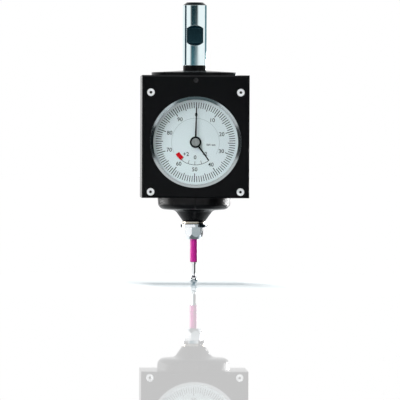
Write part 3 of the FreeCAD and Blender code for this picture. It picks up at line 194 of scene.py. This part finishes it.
def tint_where(material, mask, centre, test, limit, colour):
    """Multiply a finish by a colour where its distance from a centre, on the masked axes, passes a limit."""
    nodes = material.node_tree.nodes
    links = material.node_tree.links
    shader = nodes["Principled BSDF"]
    place = nodes.new("ShaderNodeTexCoord")
    offset = nodes.new("ShaderNodeVectorMath")
    offset.operation = "SUBTRACT"
    offset.inputs[1].default_value = Vector(centre) * MM
    flatten = nodes.new("ShaderNodeVectorMath")
    flatten.operation = "MULTIPLY"
    flatten.inputs[1].default_value = mask
    reach = nodes.new("ShaderNodeVectorMath")
    reach.operation = "LENGTH"
    passed = nodes.new("ShaderNodeMath")
    passed.operation = test
    passed.inputs[1].default_value = limit * MM
    links.new(place.outputs["Object"], offset.inputs[0])
    links.new(offset.outputs["Vector"], flatten.inputs[0])
    links.new(flatten.outputs["Vector"], reach.inputs[0])
    links.new(reach.outputs["Value"], passed.inputs[0])
    tint = nodes.new("ShaderNodeMix")
    tint.data_type = "RGBA"
    tint.blend_type = "MULTIPLY"
    tint.inputs["B"].default_value = (*colour, 1)
    links.new(passed.outputs["Value"], tint.inputs["Factor"])
    links.new(shader.inputs["Base Color"].links[0].from_socket, tint.inputs["A"])
    links.new(tint.outputs["Result"], shader.inputs["Base Color"])


def box_top():
    """Level of the box's top edge, in millimetres; light catches that edge as a bright line, and a painted
    highlight line is laid along it.
    """
    return max(vert.co.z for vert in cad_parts["front_cover"].data.vertices) / MM


def add_parting_line(material):
    """The mould's parting line down the front of the boot, as a fine raised seam."""
    nodes = material.node_tree.nodes
    links = material.node_tree.links
    place = nodes.new("ShaderNodeTexCoord")
    parts = nodes.new("ShaderNodeSeparateXYZ")
    links.new(place.outputs["Object"], parts.inputs["Vector"])
    off_centre = nodes.new("ShaderNodeMath")
    off_centre.operation = "ABSOLUTE"
    links.new(parts.outputs["X"], off_centre.inputs[0])
    seam = nodes.new("ShaderNodeMapRange")
    seam.interpolation_type = "SMOOTHSTEP"
    seam.inputs["From Min"].default_value = 0.1 * MM
    seam.inputs["From Max"].default_value = 0.45 * MM
    seam.inputs["To Min"].default_value = 1.0
    seam.inputs["To Max"].default_value = 0.0
    links.new(off_centre.outputs["Value"], seam.inputs["Value"])
    raised = nodes.new("ShaderNodeBump")
    raised.inputs["Strength"].default_value = 0.8
    raised.inputs["Distance"].default_value = 0.25 * MM
    links.new(seam.outputs["Result"], raised.inputs["Height"])
    links.new(raised.outputs["Normal"], nodes["Bump"].inputs["Normal"])


def dress_cad_nodes():
    for name, node_names in NODE_FINISHES.items():
        for node_name in node_names:
            for material_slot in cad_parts[node_name].material_slots:
                material_slot.material = FINISHES[name]


# Making pieces

def piece_from(name, mesh, material, body="case", smooth=False):
    """Make a piece of a finished bmesh, in metres, and let it ride on a body."""
    data = bpy.data.meshes.new(name)
    mesh.to_mesh(data)
    mesh.free()
    data.materials.append(material)
    if smooth:
        data.shade_smooth()
        data.set_sharp_from_angle(angle=math.radians(35))
    piece = bpy.data.objects.new(name, data)
    bpy.context.collection.objects.link(piece)
    if body:
        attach(piece, body)
    return piece


def revolved(corners, axis, centre, steps, rounding=()):
    """Spin a closed outline of (radius, level) about an axis, in millimetres, with some corners rounded."""
    mesh = bmesh.new()
    verts = [mesh.verts.new(Vector((r, 0, level)) * MM) for r, level in corners]
    for number, vert in enumerate(verts):
        mesh.edges.new((verts[number - 1], vert))
    for number, radius in rounding:
        bmesh.ops.bevel(mesh, geom=[verts[number]], offset=radius * MM, segments=5, profile=0.5,
                        material=-1, affect="VERTICES")
    outline = [*mesh.verts, *mesh.edges]
    bmesh.ops.spin(mesh, geom=outline, cent=(0, 0, 0), axis=(0, 0, 1), angle=2 * math.pi, steps=steps,
                   use_merge=True)
    bmesh.ops.remove_doubles(mesh, verts=mesh.verts, dist=1e-7)
    if axis == "Y":
        lay_down = Matrix.Rotation(math.radians(-90), 3, "X")
        bmesh.ops.rotate(mesh, verts=mesh.verts, cent=(0, 0, 0), matrix=lay_down)
    bmesh.ops.translate(mesh, verts=mesh.verts, vec=centre)
    bmesh.ops.recalc_face_normals(mesh, faces=mesh.faces)
    return mesh


# Printing on the dial

def dial_spot(angle, radius):
    """A place on the dial by its angle clockwise from the top, in degrees, and radius in millimetres."""
    turn = math.radians(angle) + DIAL_TURN
    return DIAL_CENTRE + Vector((math.sin(turn), 0, math.cos(turn))) * radius * MM


def ink_mark(mesh, spots):
    """One printed patch: a flat face just in front of the dial, with a little thickness."""
    front = [mesh.verts.new(Vector((spot.x, DIAL_FACE - INK_DEPTH, spot.z))) for spot in spots]
    face = mesh.faces.new(front)
    back = bmesh.ops.extrude_face_region(mesh, geom=[face])
    moved = [item for item in back["geom"] if isinstance(item, bmesh.types.BMVert)]
    bmesh.ops.translate(mesh, verts=moved, vec=(0, INK_DEPTH * 1.2, 0))


def ink_line(mesh, angle, inner, outer, width):
    """A radial line of the scale."""
    across = (dial_spot(angle + 90, 1) - DIAL_CENTRE).normalized() * width * MM / 2
    start, end = dial_spot(angle, inner), dial_spot(angle, outer)
    ink_mark(mesh, [start - across, start + across, end + across, end - across])


def ink_arc(mesh, start, end, radius, width, step=3.0):
    """An arc of the scale, as short patches."""
    count = max(1, round((end - start) / step))
    for i in range(count):
        first = start + (end - start) * i / count
        last = start + (end - start) * (i + 1) / count
        ink_mark(mesh, [dial_spot(first, radius - width / 2), dial_spot(last, radius - width / 2),
                        dial_spot(last, radius + width / 2), dial_spot(first, radius + width / 2)])


def print_main_scale():
    mesh = bmesh.new()
    for division in range(100):
        long_line = division % 10 == 0
        inner = 15.3 if long_line else 15.9 if division % 5 == 0 else 16.6
        ink_line(mesh, division * 3.6, inner, 19.5, 0.40 if long_line else 0.36)
    bmesh.ops.recalc_face_normals(mesh, faces=mesh.faces)
    scale = piece_from("dial_main_scale", mesh, INK_GREY)


def print_small_scale():
    mesh = bmesh.new()
    ink_arc(mesh, 143.5, 216.5, 11.1, 0.24)
    for angle in (143.5, 162.5, 180, 197.5, 216.5):
        ink_line(mesh, angle, 9.3, 11.1, 0.24)
    bmesh.ops.recalc_face_normals(mesh, faces=mesh.faces)
    piece_from("dial_small_scale", mesh, INK_GREY)

    mesh = bmesh.new()
    ink_arc(mesh, 217.5, 237.5, 10.3, 2.1)
    bmesh.ops.recalc_face_normals(mesh, faces=mesh.faces)
    piece_from("dial_overtravel_zone", mesh, INK_RED)

    mesh = bmesh.new()
    ink_arc(mesh, -118, 118, 11.7, 0.16)
    bmesh.ops.recalc_face_normals(mesh, faces=mesh.faces)
    piece_from("dial_inner_circle", mesh, INK_PALE)


def print_numerals():
    """Plain upright numbers, made as meshes and joined into one print."""
    labels = [(str(number), dial_spot(number * 3.6, 13.4), 2.7) for number in range(0, 100, 10)]
    labels += [
        ("+2", DIAL_CENTRE + Vector((-4.6, 0, -5.9)) * MM, 2.7),
        ("0", DIAL_CENTRE + Vector((-0.15, 0, -7.5)) * MM, 2.7),
        ("-2", DIAL_CENTRE + Vector((4.7, 0, -5.8)) * MM, 2.7),
        ("0.01 mm", DIAL_CENTRE + Vector((7.6, 0, -1.3)) * MM, 1.25),
    ]
    print_mesh = bmesh.new()
    for text, spot, height in labels:
        curve = bpy.data.curves.new("numeral", "FONT")
        curve.body = text
        curve.size = height * MM
        curve.align_x = "CENTER"
        curve.align_y = "CENTER"
        curve.offset = 0.04 * MM
        curve.resolution_u = 3
        holder = bpy.data.objects.new("numeral", curve)
        bpy.context.collection.objects.link(holder)
        flat = bpy.data.meshes.new_from_object(holder)
        flat.transform(Matrix.Translation(Vector((spot.x, DIAL_FACE - INK_DEPTH, spot.z)))
                       @ Matrix.Rotation(math.radians(90), 4, "X"))
        print_mesh.from_mesh(flat)
        bpy.data.objects.remove(holder)
        bpy.data.curves.remove(curve)
        bpy.data.meshes.remove(flat)
    bmesh.ops.remove_doubles(print_mesh, verts=print_mesh.verts, dist=1e-7)
    piece_from("dial_numerals", print_mesh, INK_GREY)


# Window rim

def make_window_rim():
    """The bare turned cone round the window, a hair in front of the cover's own bevel."""
    corners = [(22.25, -21.995), (22.27, -21.95), (20.82, -20.99),
               (20.82, -20.62), (20.76, -20.62), (20.76, -21.02)]
    mesh = revolved(corners, "Y", DIAL_CENTRE, 128)
    piece_from("window_rim", mesh, FINISHES["grey_anodised"], smooth=True)


# Rubber boot, in three bands

def boot_band(name, corners, rounding):
    mesh = revolved(corners, "Z", Vector(), 96, rounding)
    band = piece_from(name, mesh, FINISHES["black_rubber"], body=None, smooth=True)
    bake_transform(band)
    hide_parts("boot")
    return band


def cone(level):
    """Outer and inner radius of the boot's lower cone at a level."""
    share = (-73.6 - level) / (76.85 - 73.6)
    return 7.7 - 2.3 * share, 6.5 - 2.2 * share


def make_boot():
    upper_out, upper_in = cone(-74.0)
    middle_out, middle_in = cone(-75.4)
    boot_band("boot_shoulder", [
        (18.0, -65.0), (17.7, -68.6), (16.7, -70.1), (15.3, -70.8), (10.2, -71.2), (8.9, -71.9), (7.7, -73.6),
        (upper_out, -74.0), (upper_in, -74.0), (6.5, -73.6), (9.0, -70.0), (15.8, -70.0), (15.8, -65.0),
    ], [(6, 0.5), (5, 0.5), (4, 0.4), (3, 0.6), (2, 0.6), (1, 0.5)])
    boot_band("boot_waist", [(upper_out, -74.0), (middle_out, -75.4), (middle_in, -75.4), (upper_in, -74.0)],
              [])
    boot_band("boot_cuff", [
        (middle_out, -75.4), (5.4, -76.85), (3.1, -76.85), (3.1, -75.85), (middle_in, -75.4),
    ], [(1, 0.15)])


# Spring wire, merged and smoothed from the CAD spring

def make_main_spring():
    mesh = bmesh.new()
    mesh.from_mesh(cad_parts["main_spring"].data)
    bmesh.ops.remove_doubles(mesh, verts=mesh.verts, dist=1e-7)
    spring = piece_from("main_spring_wire", mesh, FINISHES["spring_steel"], body=None, smooth=True)
    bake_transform(spring)
    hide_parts("main_spring")


# Studio

CARD_REACH_MARGIN = 0.05
FLAT_CARD_REACH = 0.06


def floor_board():
    mesh = bmesh.new()
    bmesh.ops.create_grid(mesh, x_segments=1, y_segments=1, size=6)
    bmesh.ops.translate(mesh, verts=mesh.verts, vec=(0, 0, FLOOR_LEVEL))
    data = bpy.data.meshes.new("floor")
    mesh.to_mesh(data)
    mesh.free()
    data.materials.append(floor_paint())
    floor = bpy.data.objects.new("floor", data)
    bpy.context.collection.objects.link(floor)


def floor_paint():
    """White floor with a mirror finish; it keeps the object's soft shadow."""
    material = bpy.data.materials.new("pale_floor")
    material.use_nodes = True
    nodes = material.node_tree.nodes
    links = material.node_tree.links
    nodes.remove(nodes["Principled BSDF"])
    rays = nodes.new("ShaderNodeLightPath")

    seen = nodes.new("ShaderNodeMath")
    seen.operation = "SUBTRACT"
    seen.inputs[0].default_value = 1.0
    links.new(rays.outputs["Is Diffuse Ray"], seen.inputs[1])
    tone = nodes.new("ShaderNodeMix")
    tone.data_type = "RGBA"
    tone.inputs["A"].default_value = (0.03, 0.03, 0.03, 1)
    tone.inputs["B"].default_value = (0.31, 0.31, 0.31, 1)
    links.new(seen.outputs["Value"], tone.inputs["Factor"])
    paint = nodes.new("ShaderNodeBsdfDiffuse")
    links.new(tone.outputs["Result"], paint.inputs["Color"])
    glow = nodes.new("ShaderNodeEmission")
    glow.inputs["Color"].default_value = (0.00, 0.09, 0.13, 1)
    links.new(seen.outputs["Value"], glow.inputs["Strength"])
    lit = nodes.new("ShaderNodeAddShader")
    links.new(paint.outputs["BSDF"], lit.inputs[0])
    links.new(glow.outputs["Emission"], lit.inputs[1])

    place = nodes.new("ShaderNodeTexCoord")
    reach = nodes.new("ShaderNodeVectorMath")
    reach.operation = "DISTANCE"
    reach.inputs[1].default_value = (0, 0, FLOOR_LEVEL)
    links.new(place.outputs["Object"], reach.inputs[0])
    fade = nodes.new("ShaderNodeMapRange")
    fade.interpolation_type = "SMOOTHSTEP"
    fade.inputs["From Min"].default_value = 0.07
    fade.inputs["From Max"].default_value = 0.20
    links.new(reach.outputs["Value"], fade.inputs["Value"])
    white = nodes.new("ShaderNodeEmission")
    links.new(seen.outputs["Value"], white.inputs["Strength"])
    ground = nodes.new("ShaderNodeMixShader")
    links.new(fade.outputs["Result"], ground.inputs["Fac"])
    links.new(lit.outputs["Shader"], ground.inputs[1])
    links.new(white.outputs["Emission"], ground.inputs[2])

    gloss = nodes.new("ShaderNodeBsdfGlossy")
    gloss.inputs["Color"].default_value = (1, 1, 1, 1)
    gloss.inputs["Roughness"].default_value = 0.01
    whole = nodes.new("ShaderNodeMixShader")
    whole.inputs["Fac"].default_value = 0.45
    links.new(ground.outputs["Shader"], whole.inputs[1])
    links.new(gloss.outputs["BSDF"], whole.inputs[2])
    links.new(whole.outputs["Shader"], nodes["Material Output"].inputs["Surface"])
    return material


def card_paint(name, colour, reach, first=0, last=0, rise=0, fall=0):
    """A tone that only reflections from about its reach see; its ends can melt into the white."""
    material = bpy.data.materials.new(name)
    material.use_nodes = True
    nodes = material.node_tree.nodes
    nodes.remove(nodes["Principled BSDF"])
    links = material.node_tree.links
    tone = nodes.new("ShaderNodeEmission")
    tone.inputs["Color"].default_value = (*colour, 1)
    if rise:
        place = nodes.new("ShaderNodeTexCoord")
        parts = nodes.new("ShaderNodeSeparateXYZ")
        ahead = nodes.new("ShaderNodeMath")
        ahead.operation = "MULTIPLY"
        ahead.inputs[1].default_value = -1.0
        turn = nodes.new("ShaderNodeMath")
        turn.operation = "ARCTAN2"
        links.new(place.outputs["Object"], parts.inputs["Vector"])
        links.new(parts.outputs["Y"], ahead.inputs[0])
        links.new(parts.outputs["X"], turn.inputs[0])
        links.new(ahead.outputs["Value"], turn.inputs[1])
        both = nodes.new("ShaderNodeMath")
        both.operation = "MULTIPLY"
        for number, (none, whole) in enumerate(((first, first + rise), (last, last - fall))):
            ramp = nodes.new("ShaderNodeMapRange")
            ramp.interpolation_type = "SMOOTHSTEP"
            ramp.inputs["From Min"].default_value = math.radians(none)
            ramp.inputs["From Max"].default_value = math.radians(whole)
            links.new(turn.outputs["Value"], ramp.inputs["Value"])
            links.new(ramp.outputs["Result"], both.inputs[number])
        melt = nodes.new("ShaderNodeMix")
        melt.data_type = "RGBA"
        melt.inputs["A"].default_value = (1, 1, 1, 1)
        melt.inputs["B"].default_value = (*colour, 1)
        links.new(both.outputs["Value"], melt.inputs["Factor"])
        links.new(melt.outputs["Result"], tone.inputs["Color"])
    clear = nodes.new("ShaderNodeBsdfTransparent")
    side = nodes.new("ShaderNodeNewGeometry")
    rays = nodes.new("ShaderNodeLightPath")
    own = nodes.new("ShaderNodeMath")
    own.operation = "COMPARE"
    own.inputs[1].default_value = reach
    own.inputs[2].default_value = CARD_REACH_MARGIN
    shown = nodes.new("ShaderNodeMath")
    shown.operation = "SUBTRACT"
    either = nodes.new("ShaderNodeMixShader")
    links.new(rays.outputs["Ray Length"], own.inputs[0])
    links.new(own.outputs["Value"], shown.inputs[0])
    links.new(side.outputs["Backfacing"], shown.inputs[1])
    links.new(shown.outputs["Value"], either.inputs["Fac"])
    links.new(clear.outputs["BSDF"], either.inputs[1])
    links.new(tone.outputs["Emission"], either.inputs[2])
    links.new(either.outputs["Shader"], nodes["Material Output"].inputs["Surface"])
    return material


def curved_card(name, first, last, distance, low, high, colour, rise=0, fall=0):
    """An upright card bent round the object, between two azimuths in degrees."""
    mesh = bmesh.new()
    start = around(first, distance, low)
    ends = [mesh.verts.new(start), mesh.verts.new((start.x, start.y, high))]
    edge = mesh.edges.new(ends)
    bmesh.ops.spin(mesh, geom=[edge, *ends], cent=(0, 0, 0), axis=(0, 0, 1), angle=math.radians(last - first),
                   steps=32)
    for face in mesh.faces:
        if face.normal.dot(face.calc_center_median() * Vector((1, 1, 0))) > 0:
            face.normal_flip()
    place_card(name, mesh, card_paint(name, colour, distance, first, last, rise, fall))


def flat_card(name, level, near, far, width, colour, shade=False):
    """A level card that reflections see, or one overhead that only shades the floor."""
    mesh = bmesh.new()
    corners = [(-width, -far), (width, -far), (width, -near), (-width, -near)]
    mesh.faces.new([mesh.verts.new((x, y, level)) for x, y in corners])
    card = place_card(name, mesh, card_paint(name, colour, FLAT_CARD_REACH))
    card.visible_glossy = not shade
    card.visible_shadow = shade


def place_card(name, mesh, material):
    data = bpy.data.meshes.new(name)
    mesh.to_mesh(data)
    mesh.free()
    data.materials.append(material)
    card = bpy.data.objects.new(name, data)
    bpy.context.collection.objects.link(card)
    card.visible_camera = False
    card.visible_diffuse = False
    card.visible_shadow = False
    card.visible_transmission = False
    return card


def lamp(name, place, aim, width, height, power, shine=False, wash=True, spread=180):
    """A soft lamp; shine lets gloss reflect it and wash lets it light dull surfaces."""
    light = bpy.data.lights.new(name, "AREA")
    light.shape = "RECTANGLE"
    light.size = width
    light.size_y = height
    light.energy = power
    light.spread = math.radians(spread)
    holder = bpy.data.objects.new(name, light)
    holder.location = place
    holder.rotation_euler = (Vector(place) - Vector(aim)).to_track_quat("Z", "Y").to_euler()
    holder.visible_glossy = shine
    holder.visible_diffuse = wash
    bpy.context.collection.objects.link(holder)


def white_world():
    """White to the camera and in reflections, a plain soft level for everything else."""
    world = bpy.data.worlds.new("studio")
    bpy.context.scene.world = world
    world.use_nodes = True
    nodes = world.node_tree.nodes
    links = world.node_tree.links
    sky = nodes["Background"]
    sky.inputs["Color"].default_value = (1, 1, 1, 1)
    rays = nodes.new("ShaderNodeLightPath")
    first = nodes.new("ShaderNodeMath")
    first.operation = "MAXIMUM"
    second = nodes.new("ShaderNodeMath")
    second.operation = "MAXIMUM"
    level = nodes.new("ShaderNodeMapRange")
    level.inputs["To Min"].default_value = 0.18
    level.inputs["To Max"].default_value = 1.0
    links.new(rays.outputs["Is Camera Ray"], first.inputs[0])
    links.new(rays.outputs["Is Glossy Ray"], first.inputs[1])
    links.new(first.outputs["Value"], second.inputs[0])
    links.new(rays.outputs["Is Transmission Ray"], second.inputs[1])
    links.new(second.outputs["Value"], level.inputs["Value"])
    links.new(level.outputs["Result"], sky.inputs["Strength"])


def around(azimuth, distance, level=-0.06):
    """A place round the object: 0 degrees is in front of the dial and 90 is to its right."""
    turn = math.radians(azimuth)
    return Vector((math.sin(turn) * distance, -math.cos(turn) * distance, level))


def set_studio():
    white_world()
    floor_board()
    black = (0.002, 0.006, 0.008)
    teal = (0.09, 0.19, 0.22)
    curved_card("card_front_upper", -52, 38, 1.9, 0.041, 0.9, (0.003, 0.014, 0.018), 20, 20)
    curved_card("card_front_lower", -54, 60, 1.9, -0.090, 0.041, (0.08, 0.20, 0.24), 26, 76)
    curved_card("card_left", -111, -87, 1.2, -0.02, 0.9, (0.006, 0.035, 0.055))
    curved_card("card_right", 110, 148, 1.2, -0.02, 0.9, teal)
    curved_card("card_low", 33, 160, 0.45, -0.107, -0.064, black)
    curved_card("card_low_front", 8, 33, 0.45, -0.107, -0.064, (0.40, 0.45, 0.46))
    curved_card("card_low_left", -150, -118, 0.45, -0.107, -0.064, black)
    curved_card("card_stylus", 12, 88, 0.06, -0.107, -0.096, black)
    curved_card("card_near", 38, 88, 0.06, -0.096, -0.062, black)
    curved_card("card_dial_right", 45, 95, 0.12, -0.075, -0.002, black)
    curved_card("card_dial_left", -95, -45, 0.12, -0.075, -0.002, black)
    flat_card("card_dial_under", -0.095, 0.030, 0.090, 0.03, (0.15, 0.20, 0.21))
    flat_card("card_floor", FLOOR_LEVEL + MM, 0.012, 1.9, 0.5, (0.14, 0.16, 0.17))
    flat_card("floor_shade", 0.10, -0.15, 0.17, 0.031, black, shade=True)

    middle = Vector((0, 0, -0.06))
    boot_level = Vector((0, 0, -0.066))
    lamp("overhead", (-0.05, 0.16, 1.3), middle, 0.12, 1.2, 70)
    lamp("key", around(-42, 1.4, 0.7), middle, 0.9, 1.2, 20)
    lamp("dial_front", around(-6, 1.0, -0.0377), DIAL_CENTRE, 0.05, 0.05, 0.010, spread=10)
    lamp("boot_left", around(-116, 0.5, -0.066), boot_level, 0.45, 0.04, 0.9, shine=True, wash=False)
    lamp("boot_right", around(131, 0.45, -0.066), boot_level, 0.30, 0.04, 3.4, shine=True, wash=False)
    lamp("flange_right", around(148, 0.5, 0.004), Vector(), 0.08, 0.012, 0.2, shine=True, wash=False)
    lamp("sleeve_left", around(-78, 0.4, -0.07), Vector((0, 0, -0.092)), 0.06, 0.06, 0.010, spread=20)


def set_camera():
    """The photograph's view: nearly level, a little from the left, from far away."""
    distance = 2.5
    yaw, pitch, roll = (math.radians(angle) for angle in (-1.93, 0.76, 0.24))
    aim = Vector((2.92, 0, -66.19)) * MM
    focal_pixels = 5077.5
    image_width = 400
    back = Vector((math.sin(yaw) * math.cos(pitch), -math.cos(yaw) * math.cos(pitch), math.sin(pitch)))
    level = Vector((math.cos(yaw), math.sin(yaw), 0))
    rise = back.cross(level)
    right = level * math.cos(roll) + rise * math.sin(roll)
    up = back.cross(right)
    eye = bpy.data.cameras.new("camera")
    eye.sensor_width = 36
    eye.lens = eye.sensor_width * focal_pixels / image_width
    eye.clip_end = 100
    holder = bpy.data.objects.new("camera", eye)
    turned = Matrix((right, up, back)).transposed().to_4x4()
    holder.matrix_world = Matrix.Translation(aim + back * distance) @ turned
    bpy.context.collection.objects.link(holder)
    bpy.context.scene.camera = holder


bpy.context.scene.view_settings.view_transform = "Standard"
# Painted dark reflection: the shank's flat and chamfers, inside its round, are darkened to a teal black.
tint_where(FINISHES["shank_steel"], (1, 1, 0), (0, 0, 0), "LESS_THAN", 5.93, (0.12, 0.20, 0.23))
# Painted dark reflection: the shank's top chamfer and end are darkened nearly to black.
tint_where(FINISHES["shank_steel"], (0, 0, 1), (0, 0, 0), "GREATER_THAN", 29.55, (0.01, 0.02, 0.025))
# Painted highlight: a bright grey line along the box's top front edge, multiplied into the black anodised
# colour.
tint_where(FINISHES["box_anodised_painted_highlight"], (0, 1, 1), (0, BOX_FRONT, box_top()), "LESS_THAN", 0.35, (105, 110, 113))
# Painted shade: the cover screws' sockets, and all of each screw behind the head's face, are darkened nearly
# to black.
tint_where(FINISHES["screw_steel"], (0, 1, 0), (0, 0, 0), "LESS_THAN", 21.45, (0.007, 0.009, 0.010))
add_parting_line(FINISHES["black_rubber"])
dress_cad_nodes()
print_main_scale()
print_small_scale()
print_numerals()
make_window_rim()
make_boot()
make_main_spring()
set_studio()
set_camera()
